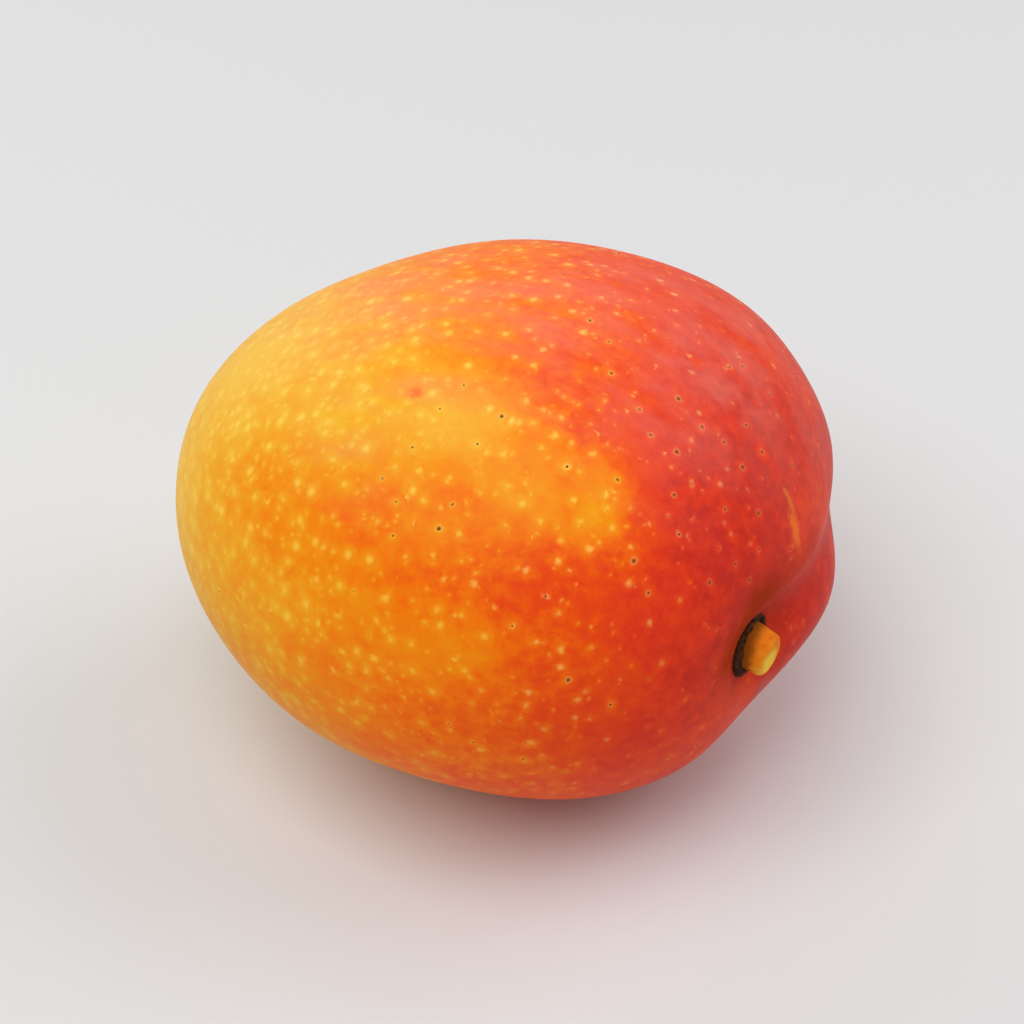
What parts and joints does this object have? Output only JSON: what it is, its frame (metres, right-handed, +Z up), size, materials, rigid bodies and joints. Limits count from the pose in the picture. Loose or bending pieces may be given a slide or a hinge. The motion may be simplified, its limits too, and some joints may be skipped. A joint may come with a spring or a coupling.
{
  "type": "mango",
  "caption": "Ripe red-blushed mango lying on its flatter cheek, with a dark corky collar and a short broken stalk stub in the cavity at its stem end.",
  "frame": {"origin": "on the surface that the fruit rests on, under the middle of the whole object's box", "axes": "+X towards the stem end, +Y across the width towards the side with the groove, +Z up through the thickness"},
  "size_m": [0.1102, 0.1028, 0.0839],
  "materials": {
    "skin": "waxy satin skin, yellow at the apex through orange to a red blush at the stem end, with pale dots",
    "collar": "dry dark cork",
    "stub": "dry fibrous stalk, ochre orange, with a pale broken end"
  },
  "bodies": {
    "root": {"fruit": "skin", "stem_collar": "collar", "stem_stub": "stub"}
  },
  "joints": []
}
